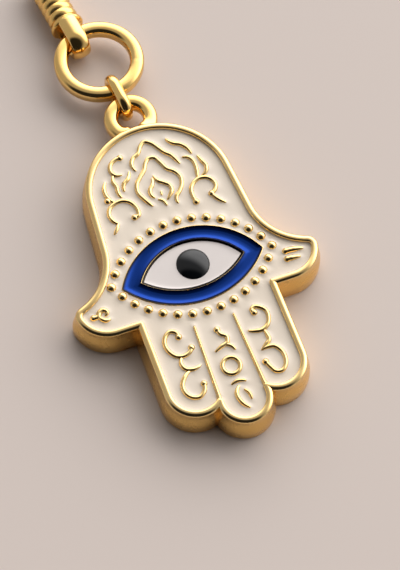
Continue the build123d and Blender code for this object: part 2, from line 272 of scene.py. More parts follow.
# %% Window and room
window_way = from_sphere(math.radians(128), math.radians(32.5))
window_half, daylight = (1.3, 1.2, 0.68), "#FFFDFB"
window_edge, window_level, room_level, patch_level = 0.6, 3.0, 0.45, 0.02
patch_way = from_sphere(math.radians(-30), math.radians(38))
patch_near, patch_far = math.radians(42), math.radians(62)

world = bpy.data.worlds.new("studio")
scene.world = world
world.use_nodes = True
sky = world.node_tree
sky.nodes.clear()
look = add_node(sky, "ShaderNodeTexCoord").outputs["Generated"]
pane = add_node(sky, "ShaderNodeMapping", {"Location": window_way, "Scale": window_half,
                                           "Rotation": window_way.to_track_quat("Y", "Z").to_euler()},
                {"Vector": look}, vector_type="TEXTURE")
fade = add_node(sky, "ShaderNodeTexGradient", links={"Vector": pane.outputs["Vector"]},
                gradient_type="SPHERICAL")
window = add_node(sky, "ShaderNodeMapRange", {"From Max": window_edge, "To Max": window_level},
                  {"Value": fade.outputs["Fac"]}, interpolation_type="SMOOTHSTEP")
facing = add_node(sky, "ShaderNodeVectorMath", {1: patch_way}, {0: look}, operation="DOT_PRODUCT")
room = add_node(sky, "ShaderNodeMapRange", {"From Min": math.cos(patch_far), "From Max": math.cos(patch_near),
                                            "To Min": room_level, "To Max": patch_level},
                {"Value": facing.outputs["Value"]}, interpolation_type="SMOOTHSTEP")
total = add_node(sky, "ShaderNodeMath", links={0: window.outputs["Result"], 1: room.outputs["Result"]},
                 operation="ADD")
glow = add_node(sky, "ShaderNodeBackground", {"Color": paint(daylight)}, {"Strength": total.outputs["Value"]})
add_node(sky, "ShaderNodeOutputWorld", links={"Surface": glow.outputs["Background"]})
print("one wide window in a dim room")

# %% [markdown]
# ## Mesh helpers
# Most pieces are a section carried along a line: a rim along the outline, a wire along a ring, a profile
# round an axis. Each gives rows of points, and one function joins neighbouring rows with quads. Another
# turns points and faces into a piece that rides on its body and stands for its node of the imported model.

# %% Rows, faces and pieces
import bmesh

weld_mm = 0.001


def row_faces(rows, columns, close_rows, close_columns):
    """Quads between neighbouring rows of points."""
    faces = []
    for i in range(rows if close_rows else rows - 1):
        for j in range(columns if close_columns else columns - 1):
            here, there, after = i * columns, (i + 1) % rows * columns, (j + 1) % columns
            faces.append((here + j, here + after, there + after, there + j))
    return faces


def add_piece(name, points, faces, body, slot, finish, nodes, crease=40):
    """Closed mesh in millimetres, smooth but for edges sharper than the crease, set in the frame."""
    mesh = bpy.data.meshes.new(name)
    mesh.from_pydata([Vector(p) * MM for p in points], [], faces)
    work = bmesh.new()
    work.from_mesh(mesh)
    bmesh.ops.remove_doubles(work, verts=work.verts, dist=weld_mm * MM)
    bmesh.ops.recalc_face_normals(work, faces=work.faces)
    work.to_mesh(mesh)
    work.free()
    mesh.shade_smooth()
    mesh.set_sharp_from_angle(angle=math.radians(crease))
    mesh.materials.append(finish)
    piece = bpy.data.objects.new(name, mesh)
    scene.collection.objects.link(piece)
    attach(piece, body)
    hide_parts(*nodes)
    print(name, len(mesh.vertices), "points,", len(mesh.polygons), "faces")
    return piece


print("pieces ready")

# %% [markdown]
# ## The hand's outline
# The middle of the rim is drawn with arcs and straight lines: a dome, leaning sides, a flare that runs out
# to each thumb, the thumbs, and three finger ends. A small round that touches the flare and the thumb ends
# each thumb. Only the right half is drawn, and the left is its mirror image. The line could be a curve
# object, but the rim needs it at many offsets, with the notches kept crisp on the side where they pinch, so
# plain points with a side direction each are used.

# %% Arcs of the outline
import numpy as np

step_mm, step_turn, fewest_steps = 0.25, math.radians(8), 3


def arc(center, radius, start, sweep):
    """Points of an arc, evenly spaced, angles in radians."""
    count = max(fewest_steps, math.ceil(abs(sweep) * radius / step_mm), math.ceil(abs(sweep) / step_turn))
    angles = start + sweep * np.linspace(0, 1, count + 1)
    return np.array(center) + radius * np.column_stack((np.cos(angles), np.sin(angles)))


def circle_from(start, way, end):
    """Centre and radius, positive to the left, of the arc that leaves start along a way and reaches end."""
    start, way, end = np.array(start), np.array(way), np.array(end)
    left = np.array((-way[1], way[0]))
    chord = end - start
    radius = chord @ chord / (2 * chord @ left)
    return start + left * radius, radius


def arc_to(center, start, end, turn):
    """Points of the arc round a centre from start to end, to the left for a positive turn."""
    first = math.atan2(start[1] - center[1], start[0] - center[0])
    last = math.atan2(end[1] - center[1], end[0] - center[0])
    sweep = (last - first) % math.tau if turn > 0 else -((first - last) % math.tau)
    return arc(center, math.dist(center, start), first, sweep)


def arc_from(start, way, end):
    """Points of the arc that leaves start along a way and reaches end."""
    center, radius = circle_from(start, way, end)
    return arc_to(center, start, end, radius)


def straight(start, end):
    """Points of a straight line, evenly spaced."""
    start, end = np.array(start), np.array(end)
    count = max(fewest_steps, math.ceil(np.linalg.norm(end - start) / step_mm))
    return start + (end - start) * np.linspace(0, 1, count + 1)[:, None]


print("points every", step_mm, "mm")

# %% Dome, flare and thumb tip
dome_top, dome_radius, side_lean = 23.0, 10.0, math.radians(4.5)
waist_height, cusp_reach, cusp_height, thumb_radius, tip_radius = 6.4, 17.0, -1.25, 4.3, 1.0

dome = arc((0, dome_top - dome_radius), dome_radius, math.pi / 2, side_lean - math.pi / 2)
side_way = (math.sin(side_lean), -math.cos(side_lean))
waist_reach = dome[-1][0] + (dome[-1][1] - waist_height) * math.tan(side_lean)
waist = (waist_reach, waist_height)
thumb_middle = np.array((cusp_reach - thumb_radius, cusp_height))
flare_middle, flare_radius = circle_from(waist, side_way, (cusp_reach, cusp_height))
between = thumb_middle - flare_middle
apart = np.linalg.norm(between)
from_flare, from_thumb = flare_radius + tip_radius, thumb_radius - tip_radius
along = (from_flare**2 - from_thumb**2 + apart**2) / (2 * apart)
aside = math.sqrt(from_flare**2 - along**2)
tip_middle = flare_middle + (between * along + np.array((-between[1], between[0])) * aside) / apart
flare_end = flare_middle + (tip_middle - flare_middle) * flare_radius / from_flare
thumb_start = thumb_middle + (tip_middle - thumb_middle) * thumb_radius / from_thumb
print("flare of", round(flare_radius, 2), "mm radius")

# %% Outline of the hand
finger_reach, finger_shoulder, valley_reach, valley_height, middle_tip = 9.5, -16.4, 3.3, -19.45, -23.2
thumb_end = thumb_middle - (0, thumb_radius)
half_outline = [
    dome,
    straight(dome[-1], waist),
    arc_to(flare_middle, waist, flare_end, 1),
    arc_to(tip_middle, flare_end, thumb_start, -1),
    arc_to(thumb_middle, thumb_start, thumb_end, -1),
    straight(thumb_end, (finger_reach, thumb_end[1])),
    straight((finger_reach, thumb_end[1]), (finger_reach, finger_shoulder)),
    arc_from((finger_reach, finger_shoulder), (0, -1), (valley_reach, valley_height)),
    arc_from((0, middle_tip), (1, 0), (valley_reach, valley_height))[::-1],
]
runs = half_outline + [run[::-1] * (-1, 1) for run in half_outline[::-1]]
print(len(runs), "runs in the outline")

# %% Side directions and corners
fan_steps, corner_limit = 8, math.radians(5)


def sides_of(run):
    """Unit directions square to a run, pointing out of the hand."""
    way = np.gradient(run, axis=0, edge_order=2)
    way /= np.linalg.norm(way, axis=1)[:, None]
    return np.column_stack((-way[:, 1], way[:, 0]))


rim_points, rim_sides, corners = [], [], []
for run, after in zip(runs, runs[1:] + runs[:1]):
    here, there = sides_of(run), sides_of(after)[0]
    turn = math.atan2(here[-1][0] * there[1] - here[-1][1] * there[0], here[-1] @ there)
    skip = 1 if corners and corners[-1][1] == len(rim_points) - 1 else 0
    rim_points += list(run[skip:-1])
    rim_sides += list(here[skip:-1])
    if abs(turn) > corner_limit:
        start = len(rim_points)
        angle = math.atan2(here[-1][1], here[-1][0])
        for k in range(fan_steps + 1):
            swung = angle + turn * k / fan_steps
            rim_points.append(run[-1])
            rim_sides.append(np.array((math.cos(swung), math.sin(swung))))
        corners.append((start, len(rim_points) - 1, turn))
rim_points, rim_sides = np.array(rim_points), np.array(rim_sides)
print(len(rim_points), "points,", len(corners), "corners")

# %% Offsets of the outline
search_points, parallel_limit = 24, 1e-12


def offset_line(reach):
    """The outline moved outwards by a reach in millimetres, cut off where its two sides cross at a corner."""
    line = rim_points + rim_sides * reach
    for start, stop, turn in corners:
        if turn * reach <= 0:
            continue
        crossing = None
        for i in range(start, start - search_points, -1):
            for j in range(stop, stop + search_points):
                a, b, c, d = line[i - 1], line[i], line[j], line[j + 1]
                sides = np.column_stack((b - a, c - d))
                if abs(np.linalg.det(sides)) < parallel_limit:
                    continue
                s, t = np.linalg.solve(sides, c - a)
                if 0 <= s <= 1 and 0 <= t <= 1:
                    crossing = (i, j, a + (b - a) * s)
        if crossing:
            first, last, spot = crossing
            line[first:last + 1] = spot
    return line


print("offset by 1 mm:", offset_line(1.0).shape)

# %% [markdown]
# ## The cast tray
# The body of the hand is one casting: a flat back, a side wall that swells a little, and a rounded rim
# round a shallow well. It could be extruded and bevelled, but a bevel fails in the sharp notches beside the
# thumbs. Carrying the real section along the offset outlines keeps the rim even and the notches sharp. The
# rim is a polished bead, steep and flat-topped on its inner side and round on its outer side, and the satin
# wall sweeps out below it.

# %% Section of the tray
rim_half, rim_crest, rim_top, rim_crown, crown_steps = 0.5, -0.02, 4.8, 0.46, 28
inner_fullness, outer_fullness = 0.6, 1.0
floor_height, wall_reach, back_edge, wall_rows = 3.2, 1.0, 0.3, 15
swell_start, swell_end, satin_start = 4.34, 1.3, 4.58


def bend(center, radius, start, end, steps=10):
    """Points of a round in a section, angles in degrees."""
    angles = np.radians(np.linspace(start, end, steps + 1))
    return [(center[0] + radius * math.cos(a), center[1] + radius * math.sin(a)) for a in angles]


tray_section = [(-rim_half, floor_height)]
for across, up in bend((0, 0), 1, 180, 0, steps=crown_steps):
    inner = across < 0
    fullness = inner_fullness if inner else outer_fullness
    width = rim_half + rim_crest if inner else rim_half - rim_crest
    tray_section.append((rim_crest + math.copysign(width * abs(across) ** fullness, across),
                         rim_top - rim_crown + rim_crown * abs(up) ** fullness))
for share in np.linspace(0, 1, wall_rows):
    swell = share * share * (3 - 2 * share)
    tray_section.append((rim_half + (wall_reach - rim_half) * swell,
                         swell_start + (swell_end - swell_start) * share))
tray_section += bend((wall_reach - back_edge, back_edge), back_edge, 0, -90)
print(len(tray_section), "points in the section")

# %% Tray


def second_finish(piece, finish, chosen):
    """Give the chosen faces of a piece a second finish."""
    piece.data.materials.append(finish)
    for face in piece.data.polygons:
        face.material_index = int(chosen(face))


tray_points = [(x, y, height) for reach, height in tray_section for x, y in offset_line(reach)]
outline_count = len(rim_points)
tray_faces = row_faces(len(tray_section), outline_count, False, True)
tray_faces.append(tuple(range(outline_count)))
tray_faces.append(tuple(range(len(tray_points) - outline_count, len(tray_points))))
tray = add_piece("cast_tray", tray_points, tray_faces, "hand", "gold_plate", polished_gold, ["hand_tray"])
# The wall below the rim crown takes the satin gold, whose deeper tint is painted shade.
satin_row = min(row for row, (reach, height) in enumerate(tray_section) if reach > 0 and height < satin_start)
second_finish(tray, satin_gold_painted_shade, lambda face: face.index // outline_count >= satin_row)

# %% [markdown]
# ## Wires, balls and turned shapes
# Wires are a small round carried along a line, and balls, beads and the cord end are profiles turned round
# an axis. Blender's curve objects could do the wires, but plain points leave the taper of each end free and
# give one clean shell per wire.

# %% Wires
dome_degrees = (90, 67, 45, 22)


def wire(path, flat_way, radii, closed=False, columns=16, widen=1.0, fullness=1.0):
    """Wire along a flat path, with domed ends unless it is closed; flat_way is square to the path.

    It is widened along flat_way, and a fullness under one makes its section squarer.
    """
    path, flat_way = np.array(path, float), np.array(flat_way, float)
    radii = np.broadcast_to(np.array(radii, float), len(path))
    if closed:
        way = np.roll(path, -1, axis=0) - np.roll(path, 1, axis=0)
    else:
        way = np.gradient(path, axis=0)
    way /= np.linalg.norm(way, axis=1)[:, None]
    rings = list(zip(path, way, radii))
    if not closed:
        turns = np.radians(dome_degrees)
        first = [(path[0] - way[0] * radii[0] * math.sin(a), way[0], radii[0] * math.cos(a)) for a in turns]
        last = [(path[-1] + way[-1] * radii[-1] * math.sin(a), way[-1], radii[-1] * math.cos(a))
                for a in turns[::-1]]
        rings = first + rings + last
    points = []
    for spot, along, size in rings:
        across = np.cross(along, flat_way)
        for angle in np.linspace(0, math.tau, columns, endpoint=False):
            out = math.copysign(abs(math.cos(angle)) ** fullness, math.cos(angle))
            up = math.copysign(abs(math.sin(angle)) ** fullness, math.sin(angle))
            points.append(spot + size * (across * out + flat_way * up * widen))
    return points, row_faces(len(rings), columns, closed, True)


print("wires ready")

# %% Turned shapes and balls
upright, ball_steps = 0.9, 12


def turned(profile, origin, axis, columns=24, closed=False):
    """Profile of (along, radius) turned round an axis; an open profile starts and ends on the axis."""
    origin, axis = np.array(origin, float), np.array(axis, float)
    side = np.cross(axis, (0, 0, 1) if abs(axis[2]) < upright else (0, 1, 0))
    side /= np.linalg.norm(side)
    other = np.cross(axis, side)
    points = []
    for along, radius in profile:
        for angle in np.linspace(0, math.tau, columns, endpoint=False):
            points.append(origin + axis * along + radius * (side * math.cos(angle) + other * math.sin(angle)))
    return points, row_faces(len(profile), columns, closed, True)


def ball(center, radius, columns=20):
    """Ball of a given size."""
    profile = bend((0, 0), radius, 180, 0, steps=ball_steps)
    return turned([(along, abs(out)) for along, out in profile], center, (0, 0, 1), columns)


def joined(shells):
    """Points and faces of several shells in one list each."""
    points, faces = [], []
    for more_points, more_faces in shells:
        start = len(points)
        points += [tuple(p) for p in more_points]
        faces += [tuple(start + i for i in face) for face in more_faces]
    return points, faces


print("turned shapes ready")

# %% [markdown]
# ## Ridges between the fingers
# Two tapered strips part the fingers. They are thin at the palm, thicken towards the finger ends, and
# spread into the rim there, so that each finger's well ends in a round. A straight bar would leave hard
# corners at the foot, so the section widens along the strip and flares at the end.

# %% Finger ridges
ridge_tip, ridge_foot = np.array((2.8, -8.0)), np.array((3.2, -19.45))
ridge_thin, ridge_thick, ridge_flare, flare_start = 0.21, 0.36, 0.5, 0.9
tip_share, ridge_top, ridge_base, ridge_bottom = 0.025, 4.66, 4.05, 3.3
tip_rows, ridge_rows, crest_steps, least_rise = 9, 60, 14, 0.02
metal_spots = []


def ridge(side):
    """One finger ridge, left for -1 and right for 1, flared towards the outer finger."""
    points = []
    tip_end = 2 * tip_share
    shares = np.concatenate((np.linspace(0, tip_end, tip_rows)[:-1], np.linspace(tip_end, 1, ridge_rows)))
    for share in shares:
        spot = (ridge_tip + (ridge_foot - ridge_tip) * share) * (side, 1)
        half = ridge_thin + (ridge_thick - ridge_thin) * share
        rise = 1.0
        if share < tip_share:
            rise = math.sqrt(max(least_rise, 1 - (1 - share / tip_share) ** 2))
        outer = half + ridge_flare * max(0.0, (share - flare_start) / (1 - flare_start)) ** 2
        left, right = (outer, half) if side < 0 else (half, outer)
        metal_spots.append((spot, half))
        points.append((spot[0] - left * rise, spot[1], ridge_bottom))
        for across, up in bend((0, 0), 1, 180, 0, steps=crest_steps):
            width = (left if across < 0 else right) * rise
            height = ridge_base + (ridge_top - ridge_base) * up * rise
            points.append((spot[0] + width * across, spot[1], height))
        points.append((spot[0] + right * rise, spot[1], ridge_bottom))
    columns = len(points) // len(shares)
    faces = row_faces(len(shares), columns, False, True)
    faces += [tuple(range(columns)), tuple(range(len(points) - columns, len(points)))]
    return points, faces


for side, label in ((-1, "left"), (1, "right")):
    add_piece(f"finger_ridge_{label}_strip", *ridge(side), "hand", "gold_plate", polished_gold,
              [f"finger_ridge_{label}"])

# %% [markdown]
# ## Scroll wires
# The palm, the fingers and the thumbs carry curling wires with small balls at their ends, a traditional
# filigree. Each curl is drawn through a few points and smoothed. A free end thins out, as a wire drawn to a
# point does, and an end with a ball keeps its width.

# %% Curls through points
wire_radius, wire_height, thin_share, taper_mm, taper_power = 0.32, 4.31, 0.55, 1.1, 0.7
ball_radius, ball_height = 0.5, 4.2


def smooth_line(points, steps=8):
    """Smooth curve through the points."""
    points = np.array(points, float)
    gaps = np.linalg.norm(np.diff(points, axis=0), axis=1)
    along = np.concatenate(([0], np.cumsum(gaps)))
    slopes = np.gradient(points, along, axis=0, edge_order=min(2, len(points) - 1))
    curve = []
    for i, gap in enumerate(gaps):
        for t in np.linspace(0, 1, steps, endpoint=i == len(gaps) - 1):
            near, far = 2 * t**3 - 3 * t**2 + 1, 3 * t**2 - 2 * t**3
            curve.append(near * points[i] + far * points[i + 1] + gap * (t**3 - 2 * t**2 + t) * slopes[i]
                         + gap * (t**3 - t**2) * slopes[i + 1])
    return np.array(curve)


def curls(name, node, lines, balls, rings=(), boldness=1.0):
    """One group of scroll wires with its balls and rings; a boldness over one makes the wires thicker."""
    shells = []
    for line in lines:
        curve = smooth_line(line)
        gone = np.concatenate(([0], np.cumsum(np.linalg.norm(np.diff(curve, axis=0), axis=1))))
        radii = np.full(len(curve), wire_radius * boldness)
        for end, distance in ((line[0], gone), (line[-1], gone[-1] - gone)):
            if not any(math.dist(end, spot) < ball_radius for spot in balls):
                radii *= thin_share + (1 - thin_share) * np.clip(distance / taper_mm, 0, 1) ** taper_power
        metal_spots.extend(zip(curve, radii))
        shells.append(wire([(x, y, wire_height) for x, y in curve], (0, 0, 1), radii))
    for x, y in balls:
        metal_spots.append((np.array((x, y)), ball_radius))
        shells.append(ball((x, y, ball_height), ball_radius))
    for (x, y), radius in rings:
        loop = arc((x, y), radius, 0, math.tau)[:-1]
        metal_spots.extend((spot, wire_radius) for spot in loop)
        shells.append(wire([(*spot, wire_height) for spot in loop], (0, 0, 1), wire_radius, closed=True))
    return add_piece(name, *joined(shells), "hand", "gold_plate", polished_gold, [node])


print("curls", 2 * wire_radius, "mm wide")

# %% Flame and palm scrolls
curls("palm_flame_wires", "palm_flame", [
    [(-2.4, 16.9), (-2.6, 17.9), (-2.1, 18.8), (-1.2, 19.3), (-0.5, 20.3), (0.3, 20.8), (1.1, 20.3),
     (1.9, 19.1), (2.4, 18.3), (3.1, 17.6), (3.5, 16.8), (3.8, 16)],
    [(-2, 10.9), (-2.7, 12.2), (-3.2, 13.5), (-2.9, 14.8), (-2.1, 15.7), (-1.2, 16.6), (-0.7, 17.5),
     (0, 18.1), (0.7, 18), (1.3, 17), (1.9, 15.7), (2.7, 15), (3.2, 14), (3, 12.8), (2.3, 11.8), (1.6, 11.1),
     (1.5, 10.2)],
    [(-0.3, 15.2), (0.1, 14.3), (0.7, 13.8), (1.3, 13.2), (1.4, 12.4), (0.9, 11.7), (0.4, 11.2)],
    [(-0.6, 14.9), (-0.9, 14), (-1.5, 13.3), (-1.6, 12.6), (-1.3, 12)],
    [(-0.1, 12.6), (-0.2, 12.1)],
    [(-0.8, 11.5), (-0.3, 11.1), (-0.1, 10.4)],
], [])
curls("palm_scroll_wires_right", "palm_scrolls_right", [
    [(3.3, 20.2), (4, 19.3), (4.9, 18.8), (5.6, 18), (5.9, 17)],
    [(4.6, 16.7), (5.2, 16.5), (5.7, 15.8), (5.8, 14.8), (5.6, 13.7), (5.4, 12.9)],
    [(6.6, 16.2), (6.9, 15.3), (7.2, 14.3), (6.9, 13.6), (6.2, 13.1)],
    [(3.95, 9.5), (3.8, 10.6), (4, 11.7), (4.6, 12.4), (5.6, 12.8), (6.6, 12.6), (7.2, 12), (7.4, 11.1),
     (7, 10.4), (6.4, 10)],
    [(6.4, 10), (6.7, 9.3), (7.2, 8.6), (7.7, 8.1)],
], [(3.95, 9.5), (6.4, 10)])
curls("palm_scroll_wires_left", "palm_scrolls_left", [
    [(-3.8, 19.5), (-4.8, 19.3), (-5.5, 18.7), (-5.7, 17.9), (-5.3, 17.1), (-4.5, 16.9)],
    [(-5.6, 17.1), (-5.9, 16.2), (-5.7, 15.3), (-5.8, 14.3), (-5.6, 13.6)],
    [(-3.3, 16.9), (-3.9, 15.9), (-4.6, 15.4), (-4.9, 14.4)],
    [(-7, 16.4), (-7.5, 15.4), (-7.5, 14.4), (-7.2, 13.6), (-6.7, 13.1)],
    [(-4.9, 10), (-4.3, 10.1), (-4.1, 10.8), (-4.3, 11.8), (-4.9, 12.6), (-5.8, 13), (-6.8, 12.9),
     (-7.7, 12.4), (-8.1, 11.5), (-7.9, 10.5), (-7.3, 9.8)],
    [(-7.3, 9.8), (-7.7, 9.2), (-8.3, 8.5)],
], [(-3.8, 19.5), (-4.9, 10), (-7.6, 13.6)])

# %% Finger and thumb scrolls
curls("finger_scroll_wires_left", "finger_scrolls_left", [
    [(-5.3, -8.9), (-5.4, -8.2), (-6.1, -7.8), (-6.9, -8.2), (-7.4, -9.3), (-7.2, -10.5), (-6.4, -11.5),
     (-5.4, -11.7), (-4.6, -11.4), (-4.2, -10.9)],
    [(-5.9, -11.8), (-6.3, -12.7), (-5.9, -13.6), (-5.1, -13.9), (-4, -13.7)],
    [(-5.6, -14), (-6.6, -14.7), (-7.2, -15.7), (-7.1, -16.9), (-6.4, -17.7), (-5.6, -17.9), (-4.8, -17.4),
     (-4.4, -16.3)],
], [(-5.3, -8.9), (-4.2, -10.9), (-4.4, -16.3)])
curls("finger_scroll_wires_middle", "finger_scrolls_middle", [
    [(-0.1, -9.6), (0.1, -10.3), (0.8, -11), (0.6, -11.7), (-0.4, -12.1), (-1.3, -12.5)],
    [(0, -12), (0.8, -12.3), (1.2, -13)],
    [(-0.9, -17.6), (0, -17.4), (0.9, -17.7)],
    [(-0.2, -18.2), (-0.8, -19), (-0.7, -20.2), (0.1, -21.4)],
    [(0.4, -18.9), (0.8, -19.6), (0.8, -20.3)],
], [(-0.1, -9.6)], rings=[((-0.1, -15.1), 1.2)])
curls("finger_scroll_wires_right", "finger_scrolls_right", [
    [(5.5, -8.9), (5.3, -8.4), (5.8, -8.1), (6.5, -8.4), (7.1, -9.1), (7.1, -10.1), (6.6, -11.1),
     (5.7, -11.6), (4.7, -11.5), (3.9, -11.2)],
    [(5.8, -11.7), (6, -12.5), (6, -13.2), (5.3, -13.8), (4.6, -14.3)],
    [(4.6, -14.3), (5.4, -14.2), (6.2, -14.3), (6.9, -15.1), (7.1, -16.2), (6.8, -17.3), (6, -18),
     (5.2, -17.8), (4.8, -17.1), (4.4, -16.1)],
], [(5.5, -8.9), (4.4, -16.1)])
curls("thumb_curl_wire_left", "thumb_curl_left", [
    [(-15.1, -2.5), (-14.5, -2.5), (-14.1, -2), (-13.5, -1.8), (-13.1, -2.2), (-13.4, -2.65)],
    [(-14.4, -2.45), (-14.1, -3), (-13.6, -3.4), (-13.1, -3.3)],
], [(-15.1, -2.5)], boldness=1.2)
curls("thumb_curl_wires_right", "thumb_curls_right", [
    [(12.8, -1.75), (14, -1.85), (15.1, -2.05)],
    [(12.6, -2.95), (13.4, -3), (14.3, -3.1)],
], [(12.8, -1.75), (12.6, -2.95)], boldness=1.35)

# %% [markdown]
# ## The eye
# The eye is an almond of two arcs: a thin metal strip, a dished band of blue, a second strip, a white that
# sinks a little and a black drop for the pupil. Almonds grown by an even margin keep the same centres, so
# the strips are even all round. Each piece is a closed band between two almonds, with its own section. The
# strips are darkened where they slope down to the enamel inside them.

# %% Almond lines
almond_steps = 72


def almond(reach, rise, drop, lift, turn, margin=0.0):
    """Almond of two arcs, grown by a margin, lifted and turned, clockwise from its left corner."""
    top_radius, low_radius = (reach**2 + rise**2) / (2 * rise), (reach**2 + drop**2) / (2 * drop)
    top_middle, low_middle = rise - top_radius, low_radius - drop
    top_radius, low_radius = top_radius + margin, low_radius + margin
    squares = top_radius**2 - low_radius**2 - top_middle**2 + low_middle**2
    corner_y = squares / (2 * (low_middle - top_middle))
    corner_x = math.sqrt(top_radius**2 - (corner_y - top_middle)**2)
    first = math.atan2(corner_y - top_middle, corner_x)
    second = math.atan2(corner_y - low_middle, corner_x)
    top = np.linspace(math.pi - first, first, almond_steps, endpoint=False)
    low = np.linspace(second, -math.pi - second, almond_steps, endpoint=False)
    line = np.vstack((np.column_stack((top_radius * np.cos(top), top_middle + top_radius * np.sin(top))),
                      np.column_stack((low_radius * np.cos(low), low_middle + low_radius * np.sin(low)))))
    across, up = math.cos(math.radians(turn)), math.sin(math.radians(turn))
    return (line + (0, lift)) @ np.array(((across, up), (-up, across)))


def band(outer, inner, section):
    """Closed band between two lines; its section lists shares of the way inwards, each with a height."""
    points = [(*(a + (b - a) * share), height) for share, height in section for a, b in zip(outer, inner)]
    return points, row_faces(len(section), len(outer), True, True)


blue_almond, white_almond = (9.95, 6.2, 4.95, 0, -1.2), (6.95, 3.82, 2.77, 0.15, -1.2)
outer_strip, inner_strip = 0.22, 0.4
outer_line, blue_outer = almond(*blue_almond, outer_strip), almond(*blue_almond)
blue_inner, white_line = almond(*white_almond, inner_strip), almond(*white_almond)
print("almond", 2 * blue_almond[0], "mm long")

# %% Metal strips
outer_top, lid_top, lid_low, strip_crown, strip_foot = 4.42, 4.47, 4.24, 0.06, 3.2
lid_crest, lid_shoulder, lid_brink, dark_row = 0.1, 0.22, 0.9, 5
outer_section = [(0, strip_foot)]
outer_section += [((1 + across) / 2, outer_top - strip_crown + strip_crown * up)
                  for across, up in bend((0, 0), 1, 180, 0)]
outer_section += [(1, strip_foot)]
lid_section = [(0, strip_foot), (0, lid_top - strip_crown), (lid_crest, lid_top)]
lid_section += [(lid_shoulder, lid_top - strip_crown), (lid_brink, lid_low + strip_crown), (1, lid_low)]
lid_section += [(1, strip_foot)]

metal_spots += [(spot, 0.0) for spot in outer_line]
outer_lid = add_piece("eye_outer_strip", *band(outer_line, blue_outer, outer_section), "hand", "gold_plate",
                      polished_gold, ["eye_outer_bezel"])
# Near-black gold on the faces of the outer strip that slope down to the blue.
second_finish(outer_lid, dark_gold, lambda face: face.index // len(outer_line) >= dark_row)
inner_lid = add_piece("eye_inner_strip", *band(blue_inner, white_line, lid_section), "hand", "gold_plate",
                      polished_gold, ["eye_inner_bezel"])
slope_low, slope_high = strip_foot * MM, (lid_top - strip_crown) * MM
# Near-black gold on the faces of the inner strip that slope down to the enamel.
second_finish(inner_lid, dark_gold, lambda face: slope_low < face.center.z < slope_high)

# %% Blue band
blue_edge, blue_dish, dish_power, blue_rows, edge_nearness_share = 4.4, 0.28, 3, 19, 0.14
blue_section = [(0, floor_height)]
for share in np.linspace(0, 1, blue_rows):
    blue_section.append((share, blue_edge - blue_dish * (1 - abs(2 * share - 1) ** dish_power)))
blue_section.append((1, floor_height))
blue_band = add_piece("blue_band", *band(blue_outer, blue_inner, blue_section), "hand", "blue_enamel", blue,
                      ["blue_enamel"])
# The blue is made darker towards the edges of its band: each point stores how near it lies to an edge.
edge_nearness = blue_band.data.attributes.new("edge_nearness", "FLOAT", "POINT")
for vertex, value in zip(blue_band.data.vertices, edge_nearness.data):
    spot = np.array(vertex.co[:2]) / MM
    to_outer = np.linalg.norm(blue_outer - spot, axis=1).min()
    to_inner = np.linalg.norm(blue_inner - spot, axis=1).min()
    share = min(to_outer, to_inner) / (to_outer + to_inner)
    value.value = max(0.0, 1 - share / edge_nearness_share)

# %% White and pupil
pupil_middle, pupil_radius, pupil_top, pupil_foot = np.array((0.25, 0.7)), 2.3, 4.9, 3.9
pupil_overlap, pupil_power, pupil_rows, round_columns = 0.1, 0.7, 20, 64
white_edge, white_level, white_fall, white_start, white_rows = 4.3, 4.2, 0.08, 0.03, 24
pupil_ways = white_line - pupil_middle
pupil_ways /= np.linalg.norm(pupil_ways, axis=1)[:, None]
pupil_line = pupil_middle + pupil_ways * (pupil_radius - pupil_overlap)
white_section = [(0, floor_height), (0, white_edge)]
for share in np.linspace(white_start, 1, white_rows):
    white_section.append((share, white_level + (white_edge - white_level) * math.exp(-share / white_fall)))
white_section.append((1, floor_height))
add_piece("white_of_the_eye", *band(white_line, pupil_line, white_section), "hand", "white_enamel", white,
          ["white_enamel"])
pupil_profile = [(0, 0), (0, pupil_radius)]
for share in np.linspace(1, 0, pupil_rows):
    bulge = (1 - share**2) ** pupil_power
    pupil_profile.append((white_level - pupil_foot + (pupil_top - white_level) * bulge, pupil_radius * share))
pupil_shape = turned(pupil_profile, (*pupil_middle, pupil_foot), (0, 0, 1), columns=round_columns)
add_piece("pupil_drop", *pupil_shape, "hand", "black_glass", black_glass, ["pupil_dome"])

# %% [markdown]
# ## Granules round the eye
# Small round granules stand in a row round the eye, a little apart. They could be scattered along a curve,
# but the two arcs of the row are known, so each granule is placed by its step along its arc.

# %% Bead border
bead_almond, beads_per_arc = (11.4, 7.29, 6.96, 0.36, -3.2), 14
bead_radius, bead_height, bead_columns = 0.7, 4.1, 24
bead_rows = almond(*bead_almond)
bead_shells = []
for arc_line in (bead_rows[:almond_steps + 1], np.vstack((bead_rows[almond_steps:], bead_rows[:1]))):
    for share in np.arange(beads_per_arc) / beads_per_arc:
        place = share * almond_steps
        low = int(place)
        spot = arc_line[low] + (arc_line[low + 1] - arc_line[low]) * (place - low)
        metal_spots.append((spot, bead_radius))
        bead_shells.append(ball((*spot, bead_height), bead_radius, columns=bead_columns))
add_piece("granule_border", *joined(bead_shells), "hand", "gold_plate", polished_gold, ["bead_border"])

# %% [markdown]
# ## The ivory field
# The ivory enamel fills the tray round the eye, and its skin climbs a little wherever it meets metal, as a
# liquid does before it cures. A flat face would lose that soft edge. So the field is cut into small
# triangles, each point is lifted by its distance to the nearest metal, and the plate is closed underneath.

# %% Ivory field
from mathutils import geometry, kdtree

ivory_level, climb, climb_reach, grid_mm, field_edge, wall_gap = 4.25, 0.1, 0.28, 0.2, 0.45, 0.5
grid_reach, grid_low, grid_high = 18.0, -24.0, 24.0
repeat_mm, merge_mm, keep_inside = 0.01, 0.0001, 1


def inside(spot, line):
    """Whether a spot lies inside a closed line that bulges outwards everywhere and runs clockwise."""
    ways = np.roll(line, -1, axis=0) - line
    away = np.array(spot) - line
    return bool(np.all(ways[:, 0] * away[:, 1] - ways[:, 1] * away[:, 0] < 0))


